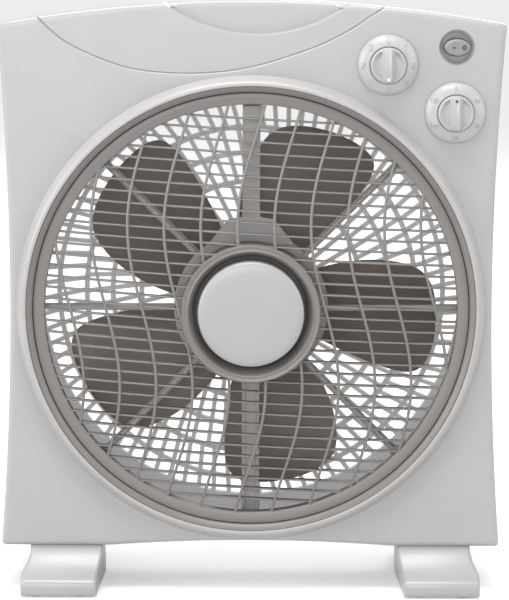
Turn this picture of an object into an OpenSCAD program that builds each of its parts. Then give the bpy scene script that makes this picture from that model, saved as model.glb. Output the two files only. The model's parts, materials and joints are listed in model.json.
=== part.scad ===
// Box fan with a slowly turning louvre grille, a three-speed control, a run timer and two boot-shaped feet.
// The front faces -Y, +Z is up, and the origin is on the floor under the middle of the feet.

/* [Body] */
// Width across the body's corners
body_w = 371; // [350:1:400]
// How far each side curves in at mid height
waist_in = 8; // [0:1:12]
// Height of the body's underside above the floor
body_bottom = 34; // [32:1:44]
// Height of the body's top corners
body_top = 423; // [415:1:440]
// How much higher the top edge is in the middle than at the corners
crown = 17; // [8:1:20]
// How far the bottom edge rises between the feet
belly = 4; // [0:1:6]
// Depth of the body from the front panel to the rear wall
body_depth = 100; // [98:1:110]
// How steeply the top falls away behind the front panel, in degrees
roof_fall = 4; // [2:0.5:5]
// Thickness of the moulded walls
wall = 2.5; // [2:0.5:3]

/* [Air path] */
// Height of the fan's axis above the floor
hub_z = 212.5; // [210:0.5:218]
// Radius of the lip's foot on the front panel
lip_r = 173; // [170:0.5:173]
// Radius of the opening inside the bezel
mouth_r = 160.7; // [160:0.1:161]
// How far the lip stands proud of the panel
lip_rise = 8; // [5:1:10]
// Inner radius of the air duct
duct_r = 168.5; // [167:0.5:169]

/* [Rotary grille] */
// Inner radius of the grille's outer ring
ring_in = 151.7; // [150:0.1:153]
// Running gap between the grille's ring and the bezel
ring_gap = 0.9; // [0.6:0.1:1.5]
// Radius of the hub ring
hub_r = 51; // [46:1:54]
// How far the louvres bulge forward from the ring to the middle
dome = 18; // [8:1:20]
// Spacing of the louvre vanes
vane_pitch = 8.3; // [8:0.1:12]
// Slope of the louvre vanes in degrees
vane_slope = 3.3; // [0:0.1:6]
// Spacing of the curved ribs
rib_pitch = 26.8; // [24:0.1:34]
// Sideways swing of each curved rib
rib_swing = 11.7; // [4:0.1:14]

/* [Fan] */
// Number of fan blades
blade_count = 5; // [3:1:7]
// Radius to the tips of the blades
blade_r = 140; // [120:1:140]
// Pitch of the blades in degrees
blade_pitch = 24; // [15:1:26]
// Radius of the motor's bells
motor_r = 42; // [38:1:44]

/* [Controls] */
// Distance of the speed dial from the middle
speed_x = 99.1; // [90:0.1:110]
// Height of the speed dial
speed_z = 393.2; // [388:0.1:398]
// Distance of the timer dial from the middle
timer_x = 148.5; // [140:0.1:152]
// Height of the timer dial
timer_z = 358.5; // [350:0.1:364]
// Distance of the rocker switch from the middle
rocker_x = 149.1; // [140:0.1:156]
// Height of the rocker switch
rocker_z = 406; // [400:0.1:410]
// Radius of the dial rings
dial_r = 22.3; // [20:0.1:23]
// Radius of the knobs
knob_r = 13.1; // [11:0.1:14]

/* [Feet] */
// Depth of the feet from toe to toe
foot_depth = 145; // [144:1:160]
// Width of each foot
foot_w = 56; // [50:1:60]
// Distance of each foot's middle from the middle of the fan
foot_x = 142; // [135:1:146]

/* [Hidden] */
$fn = 96;
EDGE_STEPS = 12;
SHELL = [0.82, 0.82, 0.81];
TRIM = [0.55, 0.53, 0.52];
DARK = [0.30, 0.27, 0.25];
STEEL = [0.72, 0.72, 0.74];
BLACK = [0.12, 0.12, 0.13];

// Depths along Y, front to back
front_y = -48;
rear_y = front_y + body_depth;
parting_y = 4;
crest_y = front_y - lip_rise;
ring_y = -51;
spider_y = -37;
blade_y = -5;
motor_y = 17;
guard_y = 47;
guard_t = 4;
hub_front = ring_y - 19;

// Outer radius of the sloped bezel inside the lip
bezel_r = mouth_r + 4.6;

// Shape of the body's edge
mid_z = (body_bottom + body_top) / 2;
half_h = (body_top - body_bottom) / 2;
belly_half = 105;

// Fasteners and shafts
screw_r = 1.6;
head_r = 3.2;
boss_r = 4.5;
case_screws = [[-174, 384], [174, 384], [-172, 54], [172, 54]];
spider_screw_r = 167;
spider_turn = 22.5;
guard_screw_r = 164;
shaft_r = 4;
spindle_r = 3;
pin_r = 1.2;
pin_y = 9;
drive_r = 3.5;
slide_gap = 0.06;
foot_screw_y = 24;
pad_y = 60;
inlet_at = [128, 62];
inlet_r = 3.7;
scoop_r = 112.5;
scoop_at = [4, 527];
pocket_w = 106;
pocket_low = 395;
pocket_high = 427;
pocket_front = 22;
rocker_turn = 7;
speed_at = [speed_x, speed_z];
timer_at = [timer_x, timer_z];
rocker_at = [rocker_x, rocker_z];
can_r = 24;

// ---- Helpers ----

// Half width of the body at a height, less an inset
function side_x(z, inset) = body_w / 2 - waist_in * (1 - pow((z - mid_z) / half_h, 2)) - inset;
// Height of the top edge at a distance across, less an inset
function top_z(x, inset) = body_top + crown * (1 - pow(x / (body_w / 2), 2)) - inset;
// Height of the bottom edge, flat over the feet and raised between them
function bottom_z(x, inset) = body_bottom + belly * max(0, 1 - pow(x / belly_half, 2)) + inset;

function body_outline(inset) = let (
    low = body_bottom + inset,
    high = body_top - inset,
    rise = (high - low) / EDGE_STEPS,
    top_half = side_x(high, inset),
    low_half = side_x(low, inset)
) concat(
    [for (i = [0:EDGE_STEPS]) [side_x(low + i * rise, inset), low + i * rise]],
    [for (i = [1:EDGE_STEPS - 1]) let (x = top_half * (1 - 2 * i / EDGE_STEPS)) [x, top_z(x, inset)]],
    [for (i = [0:EDGE_STEPS]) [-side_x(high - i * rise, inset), high - i * rise]],
    [for (x = [-belly_half:belly_half / 5:belly_half]) if (abs(x) < low_half) [x, bottom_z(x, inset)]]
);

// Extrudes a front-view outline (x, z) from depth y0 back to depth y1
module depth_extrude(y0, y1) {
    translate([0, y1, 0]) rotate([90, 0, 0]) linear_extrude(y1 - y0) children();
}

// The top edge again, carried down to below the floor: swept back at a slope, it trims the body's top
function roof_outline(inset) = let (
    high = body_top - inset,
    half = side_x(high, inset),
    xs = [for (i = [1:EDGE_STEPS - 1]) half * (1 - 2 * i / EDGE_STEPS)]
) concat(
    [[half + 6, -100], [half + 6, high * cos(roof_fall)]],
    [for (x = xs) [x, top_z(x, inset) * cos(roof_fall)]],
    [[-half - 6, high * cos(roof_fall)], [-half - 6, -100]]
);

module body_slab(inset, y0, y1) {
    intersection() {
        depth_extrude(y0, y1) polygon(body_outline(inset));
        translate([0, front_y + 4, 0]) rotate([-roof_fall, 0, 0])
            depth_extrude(-140, 140) polygon(roof_outline(inset));
    }
}

// A round bar along Y at (x, z)
module y_bar(at, r, y0, y1) {
    translate([at[0], y1, at[1]]) rotate([90, 0, 0]) cylinder(r = r, h = y1 - y0);
}

// A tube along Y at (x, z)
module y_tube(at, r_out, r_in, y0, y1) {
    difference() {
        y_bar(at, r_out, y0, y1);
        y_bar(at, r_in, y0 - 1, y1 + 1);
    }
}

// A profile of (radius, y) points turned about the Y axis through (x, z)
module turned(at, points) {
    translate([at[0], 0, at[1]]) rotate([90, 0, 0])
        rotate_extrude() polygon([for (p = points) [p[0], -p[1]]]);
}

// Places children at a radius and angle round the fan's axis
module round_hub(angle, r) {
    translate([r * cos(angle), 0, hub_z + r * sin(angle)]) children();
}

// The spider's four screw places
module at_spider_screws() {
    for (k = [0:3]) round_hub(spider_turn + 90 * k, spider_screw_r) children();
}

// The rear guard's four screw places
module at_guard_screws() {
    for (k = [0:3]) round_hub(45 + 90 * k, guard_screw_r) children();
}

hub = [0, hub_z];

// ---- Housings ----

module screw_bosses(y0, y1, r) {
    for (at = case_screws) y_bar(at, r, y0, y1);
}

module front_housing() {
    color(SHELL) difference() {
        union() {
            difference() {
                body_slab(0, front_y, parting_y);
                body_slab(wall, front_y + wall, parting_y + 1);
            }
            turned(hub, [
                [lip_r + 1, front_y + wall], [lip_r, front_y], [lip_r - 2.5, front_y - 4.4],
                [lip_r - 5, crest_y + 0.5], [lip_r - 6, crest_y], [bezel_r + 0.6, crest_y + 0.2],
                [bezel_r + 0.1, crest_y + 0.9], [bezel_r + 0.1, front_y + wall]
            ]);
            screw_bosses(front_y + 1, parting_y, boss_r);
            at_spider_screws() y_bar([0, 0], 3.6, front_y + 1, spider_y);
            intersection() {
                y_bar(scoop_at, scoop_r + wall, front_y + 1, front_y + 6 + wall);
                body_slab(0.5, front_y, 0);
            }
        }
        y_bar(hub, bezel_r + 0.1, crest_y - 1, front_y + wall);
        y_bar(hub, mouth_r + 2.5, front_y, parting_y);
        y_bar(scoop_at, scoop_r, front_y - 1, front_y + 6);
        y_bar(speed_at, 4.9, front_y - 1, front_y + wall + 1);
        y_bar(timer_at, 4.9, front_y - 1, front_y + wall + 1);
        depth_extrude(front_y - 1, front_y + wall + 1)
            translate(rocker_at) square([22.4, 13.4], center = true);
        screw_bosses(parting_y - 20, parting_y + 1, screw_r);
        at_spider_screws() y_bar([0, 0], screw_r, spider_y - 6, spider_y + 1);
        foot_screw_holes(-foot_screw_y);
    }
}

// Holes up through the shell's floor for the foot screws in the row at y
module foot_screw_holes(y) {
    for (side = [-1, 1]) translate([side * foot_x, y, body_bottom - 1]) cylinder(r = screw_r, h = wall + 2);
}

module rear_housing() {
    color(SHELL) difference() {
        union() {
            difference() {
                body_slab(0, parting_y, rear_y);
                body_slab(wall, parting_y - 1, rear_y - wall);
            }
            screw_bosses(parting_y, rear_y, boss_r);
            depth_extrude(pocket_front - wall, rear_y)
                translate([-pocket_w / 2 - wall, pocket_low - wall])
                square([pocket_w + 2 * wall, pocket_high - pocket_low + 2 * wall]);
        }
        y_bar(hub, duct_r + 2.2, rear_y - wall - 1, rear_y + 1);
        depth_extrude(pocket_front, rear_y + 1)
            translate([-pocket_w / 2, pocket_low]) square([pocket_w, pocket_high - pocket_low]);
        screw_bosses(parting_y - 1, rear_y - 3, screw_r + 0.4);
        screw_bosses(rear_y - 3, rear_y + 1, head_r + 0.3);
        y_bar(inlet_at, 6, rear_y - wall - 1, rear_y + 1);
        foot_screw_holes(foot_screw_y);
    }
}

// The duct stands in the rear wall's opening, with a flange inside the wall and lugs for the guard's screws
module air_duct() {
    color(SHELL) difference() {
        union() {
            y_bar(hub, duct_r + 2, -24, rear_y);
            y_bar(hub, duct_r + 3.4, rear_y - wall - 2, rear_y - wall);
        }
        difference() {
            y_bar(hub, duct_r, -25, rear_y + 1);
            for (k = [0:3]) round_hub(45 + 90 * k, guard_screw_r + 1.5)
                y_bar([0, 0], 5, guard_y - 12, guard_y - 4);
        }
        at_guard_screws() y_bar([0, 0], screw_r, guard_y - 10, guard_y);
    }
}

module housing_screws() {
    color(STEEL) for (at = case_screws) {
        y_bar(at, screw_r, parting_y - 16, rear_y - 3);
        y_bar(at, head_r, rear_y - 3, rear_y - 0.8);
    }
}

// A sloped ring inside the lip, with a sleeve that runs back to the spider
module grille_bezel() {
    sleeve_r = mouth_r + 2.4;
    color(TRIM) turned(hub, [
        [bezel_r, crest_y + 1.5], [bezel_r - 0.6, crest_y + 1.3], [mouth_r + 0.4, crest_y + 3.8],
        [mouth_r, crest_y + 5], [mouth_r, spider_y], [sleeve_r, spider_y], [sleeve_r, front_y + wall - 0.5],
        [bezel_r, front_y + wall - 0.5]
    ]);
}

// ---- Rotary grille ----

ring_out = mouth_r - ring_gap;
vane_depth = 7;
vane_t = 1.5;
rib_w = 2.2;
rib_t = 2.4;
half_wave = 124;
wave_z = 4;
rib_lean = 0.02;
rib_shift = 0.4;

// Depth of the louvres' front edge at a radius
function face_y(r) = ring_y + 1 - dome * (1 - pow(r / ring_in, 2));
// Path of a curved rib: its place across at height z above the axis
function rib_x(x0, z) = x0 - rib_swing * sin(180 * (z - wave_z) / half_wave) + rib_lean * z;
// Height at which a rib's path crosses radius r, found by halving between lo (inside) and hi (outside)
function crossing(x0, r, lo, hi, n = 16) = n == 0 ? (lo + hi) / 2 : let (m = (lo + hi) / 2)
    norm([rib_x(x0, m), m]) < r ? crossing(x0, r, m, hi, n - 1) : crossing(x0, r, lo, m, n - 1);

module vane(z) {
    reach = sqrt(pow(ring_in + 2, 2) - z * z);
    hole = abs(z) < hub_r - 1 ? sqrt(pow(hub_r - 1, 2) - z * z) : 0;
    spans = hole > 0 ? [[-reach, -hole], [hole, reach]] : [[-reach, reach]];
    for (s = spans) {
        xs = [for (i = [0:8]) s[0] + (s[1] - s[0]) * i / 8];
        front = [for (x = xs) [x, face_y(norm([x, z]))]];
        back = [for (i = [8:-1:0]) [xs[i], face_y(norm([xs[i], z])) + vane_depth]];
        translate([0, 0, z - vane_t / 2]) linear_extrude(vane_t) polygon(concat(front, back));
    }
}

// One stretch of curved rib from height z0 to z1: a four-sided bar along its path
module rib_stretch(x0, z0, z1) {
    n = 12;
    zs = [for (i = [0:n]) z0 + (z1 - z0) * i / n];
    rings = [for (z = zs) let (x = rib_x(x0, z), y = face_y(norm([x, z])) - 1)
        [[x - rib_w / 2, y, z], [x + rib_w / 2, y, z], [x + rib_w / 2, y + rib_t, z],
            [x - rib_w / 2, y + rib_t, z]]];
    points = [for (r = rings, p = r) p];
    sides = [for (i = [0:n - 1], k = [0:3]) let (a = 4 * i + k, b = 4 * i + (k + 1) % 4)
        [a, a + 4, b + 4, b]];
    polyhedron(points, concat([[0, 1, 2, 3]], sides, [[4 * n + 3, 4 * n + 2, 4 * n + 1, 4 * n]]));
}

module rib(x0) {
    far = ring_in + 2;
    near = hub_r - 1;
    top = crossing(x0, far, 0, 170);
    low = crossing(x0, far, 0, -170);
    if (norm([rib_x(x0, 0), 0]) < near) {
        rib_stretch(x0, crossing(x0, near, 0, 90), top);
        rib_stretch(x0, low, crossing(x0, near, 0, -90));
    } else {
        rib_stretch(x0, low, top);
    }
}

module rotary_grille() {
    vanes = floor((ring_in - 3) / vane_pitch);
    color(TRIM) union() {
        turned(hub, [
            [ring_out, ring_y + 0.6], [ring_out - 0.6, ring_y], [ring_in + 0.6, ring_y], [ring_in, ring_y + 0.6],
            [ring_in, ring_y + 9], [ring_in + 2.2, ring_y + 9], [ring_in + 2.2, ring_y + 3],
            [ring_out - 2.2, ring_y + 3], [ring_out - 2.2, ring_y + 9], [ring_out, ring_y + 9]
        ]);
        turned(hub, [
            [hub_r, ring_y + 5], [hub_r, hub_front + 1.5], [hub_r - 1, hub_front + 0.3], [hub_r - 2, hub_front],
            [hub_r - 4.3, hub_front], [hub_r - 7.5, hub_front + 17], [hub_r - 10.2, hub_front + 17],
            [hub_r - 10.2, hub_front + 8], [drive_r + slide_gap, hub_front + 8],
            [drive_r + slide_gap, hub_front + 13.5], [8, hub_front + 13.5], [8, hub_front + 10],
            [hub_r - 12, hub_front + 10], [hub_r - 12, hub_front + 19], [hub_r - 5.8, hub_front + 19],
            [hub_r - 2.9, hub_front + 3], [hub_r - 2, hub_front + 3], [hub_r - 2, ring_y + 5]
        ]);
        translate([0, 0, hub_z]) {
            rotate([0, vane_slope, 0]) for (i = [-vanes:vanes]) vane(i * vane_pitch);
            for (k = [-5:5]) rib(rib_shift + k * rib_pitch);
        }
    }
}

module hub_cap() {
    r = hub_r - 12.2;
    color(SHELL) turned(hub, [
        [r, hub_front + 7.9], [r, hub_front + 1], [r - 1.2, hub_front - 0.5], [r - 5, hub_front - 1.4],
        [r - 15, hub_front - 1.9], [0, hub_front - 2.1], [0, hub_front + 0.1], [r - 6, hub_front + 0.6],
        [r - 2, hub_front + 2.2], [r - 2, hub_front + 7.9]
    ]);
}

module hub_nut() {
    color(STEEL) turned(hub, [
        [drive_r - 1.4, hub_front + 4], [6.5, hub_front + 4], [6.5, hub_front + 8], [drive_r - 1.4, hub_front + 8]
    ]);
}

module grille_spindle() {
    color(STEEL) {
        y_bar(hub, drive_r, hub_front + 8, spider_y - 4);
        y_bar(hub, drive_r - 1.5, hub_front + 3, hub_front + 8);
    }
}

// ---- Fixed spider behind the rotary grille ----

spoke_t = 5;
plate_r = 57;

module spoke(angle, w, r0, r1) {
    translate([0, 0, hub_z]) rotate([0, -angle, 0])
        translate([r0, spider_y, -w / 2]) cube([r1 - r0, spoke_t, w]);
}

module front_spider() {
    color(TRIM) difference() {
        union() {
            y_tube(hub, 171, 157.5, spider_y, spider_y + 4);
            y_bar(hub, plate_r, spider_y, spider_y + 3);
            for (a = [90, 270]) spoke(a, 13, plate_r - 4, 160);
            for (a = [0, 180]) spoke(a, 7, plate_r - 4, 160);
            for (k = [0:3]) spoke(45 + 90 * k, 5, plate_r - 4, 160);
        }
        at_spider_screws() y_bar([0, 0], screw_r + 0.3, spider_y - 1, spider_y + 6);
        for (side = [-1, 1]) y_bar([side * 32, hub_z], screw_r, spider_y - 1, spider_y + 5);
        y_bar(hub, 8, spider_y - 1, spider_y + 5);
    }
}

module spoke_cable_cover() {
    color(TRIM) depth_extrude(spider_y - 2, spider_y) polygon([
        [-32, hub_z + 47], [32, hub_z + 47], [17, hub_z + 66], [6.5, hub_z + 68],
        [6.5, hub_z + 150], [-6.5, hub_z + 150], [-6.5, hub_z + 68], [-17, hub_z + 66]
    ]);
}

module spider_screws() {
    color(STEEL) for (k = [0:3]) round_hub(spider_turn + 90 * k, spider_screw_r) {
        y_bar([0, 0], screw_r, spider_y - 5, spider_y + 4);
        y_bar([0, 0], head_r, spider_y + 4, spider_y + 6);
    }
}

module grille_motor() {
    color(STEEL) difference() {
        union() {
            y_bar(hub, can_r, spider_y - 15, spider_y);
            depth_extrude(spider_y - 1.2, spider_y) translate([-36, hub_z - 5]) square([72, 10]);
        }
        y_bar(hub, drive_r + slide_gap, spider_y - 16, spider_y - 3.5);
        for (side = [-1, 1]) y_bar([side * 32, hub_z], screw_r + 0.3, spider_y - 3, spider_y + 1);
    }
}

module grille_motor_screws() {
    color(STEEL) for (side = [-1, 1]) {
        y_bar([side * 32, hub_z], screw_r, spider_y - 1.2, spider_y + 2.8);
        y_bar([side * 32, hub_z], head_r, spider_y - 3.2, spider_y - 1.2);
    }
}

// ---- Fan and its motor ----

hub_shell_r = 30;

// Front view of one blade along +X: a broad petal that leans back towards its tip
function petal_half(t) =
    (21 + 26 * sin(90 * min(1, t * 1.35))) * sqrt(1 - pow(max(0, (t - 0.55) / 0.45), 6));
function petal_lean(t) = 4 - 16 * t * t;

module petal() {
    n = 16;
    r0 = hub_shell_r - 4;
    ts = [for (i = [0:n]) sin(90 * i / n)];
    up = [for (t = ts) [r0 + (blade_r - r0) * t, petal_lean(t) + petal_half(t)]];
    down = [for (i = [n - 1:-1:0]) let (t = ts[i]) [r0 + (blade_r - r0) * t, petal_lean(t) - petal_half(t)]];
    rotate([90 + blade_pitch, 0, 0]) translate([0, 0, -1]) linear_extrude(2) polygon(concat(up, down));
}

module fan_blade() {
    color(DARK) difference() {
        union() {
            difference() {
                union() {
                    y_bar(hub, hub_shell_r, -22, 12);
                    for (k = [0:blade_count - 1])
                        translate([0, blade_y, hub_z]) rotate([0, -(68 + k * 360 / blade_count), 0]) petal();
                }
                y_bar(hub, hub_shell_r - 2.5, -19, 60);
            }
            y_bar(hub, 9, -22, 11);
        }
        y_bar(hub, shaft_r, -30, 20);
        y_bar(hub, 6, 7, 12);
    }
}

module spinner_nut() {
    color(BLACK) difference() {
        y_bar(hub, 13, -29, -22);
        y_bar(hub, shaft_r, -26, -21);
    }
}

// A pin through the shaft drives the fan
module cross_pin(r, length) {
    translate([-length / 2, pin_y, hub_z]) rotate([0, 90, 0]) cylinder(r = r, h = length);
}

module motor_shaft() {
    color(STEEL) difference() {
        y_bar(hub, shaft_r, -26, motor_y + 28);
        cross_pin(pin_r, 10);
    }
}

module shaft_pin() {
    color(STEEL) cross_pin(pin_r, 11);
}

module rotor_core() {
    color(STEEL) y_tube(hub, 19.7, shaft_r, motor_y + 10, motor_y + 20);
}

module stator_core() {
    color(STEEL) y_tube(hub, motor_r, 20, motor_y + 10, motor_y + 20);
}

module stator_windings() {
    color("chocolate") for (y = [motor_y + 5, motor_y + 20]) y_tube(hub, 37, 23, y, y + 5);
}

module bell(y0, y1, face_at_front) {
    y_face = face_at_front ? y0 : y1 - 2;
    y_boss = face_at_front ? y0 - 1 : y1 - 9;
    difference() {
        union() {
            y_tube(hub, motor_r, motor_r - 2, y0, y1);
            y_bar(hub, motor_r - 1, y_face, y_face + 2);
            y_bar(hub, 11, y_boss, y_boss + 9);
        }
        y_bar(hub, 8, y0 - 3, y1 + 3);
    }
}

module motor_front_bell() {
    color(STEEL) bell(motor_y, motor_y + 10, true);
}

module motor_rear_bell() {
    color(STEEL) difference() {
        bell(motor_y + 20, motor_y + 30, false);
        for (k = [0:3]) round_hub(45 + 90 * k, 30) y_bar([0, 0], screw_r, motor_y + 27, motor_y + 31);
    }
}

module motor_bushes() {
    color("peru") for (y = [motor_y - 1, motor_y + 21]) y_tube(hub, 8, shaft_r + slide_gap, y, y + 8);
}

module motor_screws() {
    color(STEEL) for (k = [0:3]) round_hub(45 + 90 * k, 30) {
        y_bar([0, 0], screw_r, motor_y + 28, guard_y + guard_t);
        y_bar([0, 0], head_r, guard_y + guard_t, guard_y + guard_t + 2);
    }
}

// ---- Rear guard ----

guard_plate_r = 46;
guard_out = duct_r - 0.3;
guard_rings = [84, 106, 126, 147];
bar_w = 3.6;

module guard_bars(r0, r1, count, swirl) {
    for (i = [0:count - 1]) rotate(i * 360 / count)
        translate([r0, 0]) rotate(swirl) translate([-1.5, -bar_w / 2]) square([r1 - r0 + 3, bar_w]);
}

module rear_grille() {
    color(SHELL) difference() {
        union() {
            translate([0, guard_y + guard_t, hub_z]) rotate([90, 0, 0]) linear_extrude(guard_t) union() {
                circle(r = guard_plate_r);
                for (r = guard_rings) difference() {
                    circle(r = r + 2);
                    circle(r = r - 2);
                }
                guard_bars(guard_plate_r, 84, 42, 14);
                guard_bars(84, 126, 63, 10);
                guard_bars(126, 160, 84, 12);
            }
            y_tube(hub, guard_out, guard_out - 9.2, guard_y - 4, guard_y + guard_t);
        }
        at_guard_screws() y_bar([0, 0], screw_r + 0.3, guard_y - 5, guard_y + 6);
        for (k = [0:3]) round_hub(45 + 90 * k, 30) y_bar([0, 0], screw_r, guard_y - 1, guard_y + 6);
    }
}

module rear_grille_screws() {
    color(STEEL) at_guard_screws() {
        y_bar([0, 0], screw_r, guard_y - 9, guard_y + guard_t);
        y_bar([0, 0], head_r, guard_y + guard_t, guard_y + guard_t + 1.8);
    }
}

// ---- Controls ----

module dial_ring(at) {
    color(SHELL) turned(at, [
        [dial_r, front_y], [dial_r, front_y - 3], [dial_r - 1, front_y - 4.6], [dial_r - 3.5, front_y - 6.2],
        [knob_r + 1.5, front_y - 7.4], [knob_r + 0.6, front_y - 7.4], [knob_r + 0.6, front_y]
    ]);
}

module knob(at) {
    color(SHELL) difference() {
        union() {
            turned(at, [
                [0, front_y - 3], [knob_r, front_y - 3], [knob_r, front_y - 9.5], [knob_r - 1, front_y - 10.5],
                [0, front_y - 10.5]
            ]);
            intersection() {
                y_bar(at, knob_r - 0.4, front_y - 17, front_y - 8);
                depth_extrude(front_y - 17, front_y - 8) translate(at) square([4.6, 40], center = true);
            }
        }
        y_bar(at, spindle_r, front_y - 12, front_y - 2);
    }
}

module control_spindle(at, back) {
    color(STEEL) y_bar(at, spindle_r, front_y - 12, back);
}

module control_box(at, w, h, back) {
    difference() {
        union() {
            depth_extrude(front_y + wall, back) translate(at) square([w, h], center = true);
            y_bar(at, 4.8, front_y - 1.5, front_y + wall + 1);
        }
        y_bar(at, spindle_r + slide_gap, front_y - 3, back - 3);
    }
}

module speed_switch() {
    color(BLACK) control_box(speed_at, 30, 28, front_y + 32);
}

module speed_spindle() {
    control_spindle(speed_at, front_y + 26);
}

module speed_dial_ring() {
    dial_ring(speed_at);
}

module speed_knob() {
    knob(speed_at);
}

module timer_body() {
    color(BLACK) control_box(timer_at, 34, 32, front_y + 36);
}

module timer_spindle() {
    control_spindle(timer_at, front_y + 30);
}

module timer_dial_ring() {
    dial_ring(timer_at);
}

module timer_knob() {
    knob(timer_at);
}

module rocker_outline(half_x, half_z) {
    polygon([for (i = [0:35]) [half_x * cos(i * 10), half_z * sin(i * 10)]]);
}

module rocker_switch_body() {
    color(BLACK) difference() {
        union() {
            turned(rocker_at, [
                [0, front_y], [13, front_y], [12.6, front_y - 1.2], [11.8, front_y - 1.6], [0, front_y - 1.6]
            ]);
            depth_extrude(front_y, front_y + 22) translate(rocker_at) square([22, 13], center = true);
        }
        depth_extrude(front_y - 6, front_y + 6) translate(rocker_at) rocker_outline(9.9, 6.3);
        depth_extrude(front_y - 0.5, front_y + 6) translate(rocker_at) rocker_outline(10.6, 5.8);
    }
}

module rocker() {
    color(TRIM) translate([rocker_at[0], front_y + 1.5, rocker_at[1]]) rotate([0, 0, rocker_turn]) {
        depth_extrude(-5, 1.5) rocker_outline(9.1, 5.7);
        cylinder(r = 1.4, h = 11.4, center = true);
    }
}

module run_capacitor() {
    color(BLACK) depth_extrude(front_y + 12, front_y + 30) translate([44, 392]) square([34, 22]);
}

module terminal_block() {
    color("ivory") difference() {
        depth_extrude(rear_y - wall - 14, rear_y - wall) translate([88, 42]) square([28, 14]);
        for (x = [93, 99, 105, 111]) y_bar([x, 49], 2, rear_y - wall - 15, rear_y - wall - 4);
    }
}

module cord_gland() {
    color(BLACK) turned(inlet_at, [
        [inlet_r, rear_y - 10], [5.9, rear_y - 10], [5.9, rear_y], [9, rear_y], [9, rear_y + 2],
        [6.5, rear_y + 5], [inlet_r, rear_y + 5]
    ]);
}

// Unit vector from a to b
function heading(a, b) = (b - a) / norm(b - a);
// Direction of a path at its point i, shared between the runs that meet there
function tangent(path, i) = heading(path[max(0, i - 1)], path[min(len(path) - 1, i + 1)]);
// A ring of points round p, square to direction t
function ring_at(p, t, r, sides) = let (u = heading([0, 0, 0], cross(t, [0, 1, 0.01])), v = cross(t, u))
    [for (k = [0:sides - 1]) p + r * (cos(360 * k / sides) * u + sin(360 * k / sides) * v)];

// A round tube swept along a path of points
module swept_tube(path, r, sides = 10) {
    n = len(path);
    points = [for (i = [0:n - 1], p = ring_at(path[i], tangent(path, i), r, sides)) p];
    walls = [for (i = [0:n - 2], k = [0:sides - 1]) let (a = i * sides + k, b = i * sides + (k + 1) % sides)
        [a, b, b + sides, a + sides]];
    ends = [[for (k = [sides - 1:-1:0]) k], [for (k = [0:sides - 1]) (n - 1) * sides + k]];
    polyhedron(points, concat(walls, ends));
}

// The wiring runs inside the shell's corner, outside the duct, from the terminals up to the controls
module wiring_harness() {
    color("white") swept_tube([
        [116, 28, 50], [130, 28, 50], [146, 26, 56], [157, 22, 70], [166, 16, 95], [171, 12, 130],
        [173, 10, 170], [173, 10, 258], [172, 9, 300], [168, 6, 330], [158, -4, 352]
    ], 2);
}

// ---- Feet ----

// Side outline of the front half of a foot: an instep that hollows down to an upright toe
toe = foot_depth / 2;
function instep() = [for (i = [0:8]) let (a = 90 * i / 8)
    [-(toe - 8) + 26 * (1 - cos(a)), 14 + (body_bottom - 14) * sin(a)]];

module foot_side() {
    front = concat([[0, 1], [-(toe - 2), 1], [-toe, 3], [-toe, 10], [-(toe - 3), 13.2]], instep());
    back = [for (i = [len(front) - 1:-1:1]) [-front[i][0], front[i][1]]];
    polygon(concat(front, back));
}

// Plan of the left foot: its toes turn outwards from a narrower middle
module foot_plan() {
    half = foot_w / 2;
    polygon([
        [-half, -toe], [half, -toe], [half, 8 - toe], [half + 4, 24 - toe], [half + 4, toe - 24], [half, toe - 8],
        [half, toe], [-half, toe], [-half, toe - 8], [6 - half, toe - 24], [6 - half, 24 - toe], [-half, 8 - toe]
    ]);
}

module foot(x) {
    color(SHELL) difference() {
        intersection() {
            translate([x - foot_w / 2 - 5, 0, 0]) rotate([90, 0, 90]) linear_extrude(foot_w + 10) foot_side();
            translate([x, 0, 0]) mirror([x > 0 ? 1 : 0, 0, 0]) linear_extrude(body_bottom + 1) foot_plan();
        }
        for (y = [-foot_screw_y, foot_screw_y]) translate([x, y, 0]) {
            cylinder(r = 5, h = 24);
            cylinder(r = screw_r + 0.3, h = 40);
        }
        for (y = [-pad_y, pad_y], dx = [-16, 16]) translate([x + dx, y, -1]) cylinder(r = 7.1, h = 4);
    }
}

module left_foot() {
    foot(-foot_x);
}

module right_foot() {
    foot(foot_x);
}

module foot_pads() {
    color(BLACK) for (side = [-1, 1], y = [-pad_y, pad_y], dx = [-16, 16])
        translate([side * foot_x + dx, y, 0]) cylinder(r = 7, h = 3);
}

module foot_screws() {
    color(STEEL) for (side = [-1, 1], y = [-foot_screw_y, foot_screw_y]) translate([side * foot_x, y, 0]) {
        translate([0, 0, 21.5]) cylinder(r = head_r, h = 2.5);
        translate([0, 0, 24]) cylinder(r = screw_r, h = body_bottom + wall - 22);
    }
}

front_housing();
rear_housing();
air_duct();
grille_bezel();
rotary_grille();
hub_cap();
hub_nut();
front_spider();
spoke_cable_cover();
spider_screws();
grille_motor();
grille_spindle();
grille_motor_screws();
fan_blade();
spinner_nut();
motor_shaft();
shaft_pin();
rotor_core();
stator_core();
stator_windings();
motor_front_bell();
motor_rear_bell();
motor_bushes();
motor_screws();
rear_grille();
rear_grille_screws();
housing_screws();
speed_switch();
speed_spindle();
speed_dial_ring();
speed_knob();
timer_body();
timer_spindle();
timer_dial_ring();
timer_knob();
rocker_switch_body();
rocker();
run_capacitor();
terminal_block();
cord_gland();
wiring_harness();
left_foot();
right_foot();
foot_pads();
foot_screws();
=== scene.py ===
"""Box fan with a turning louvre grille: the moulded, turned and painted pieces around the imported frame."""

import json
import math

import bmesh
import bpy
import numpy as np
from mathutils import Matrix, Vector
from mathutils.geometry import delaunay_2d_cdt


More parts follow.
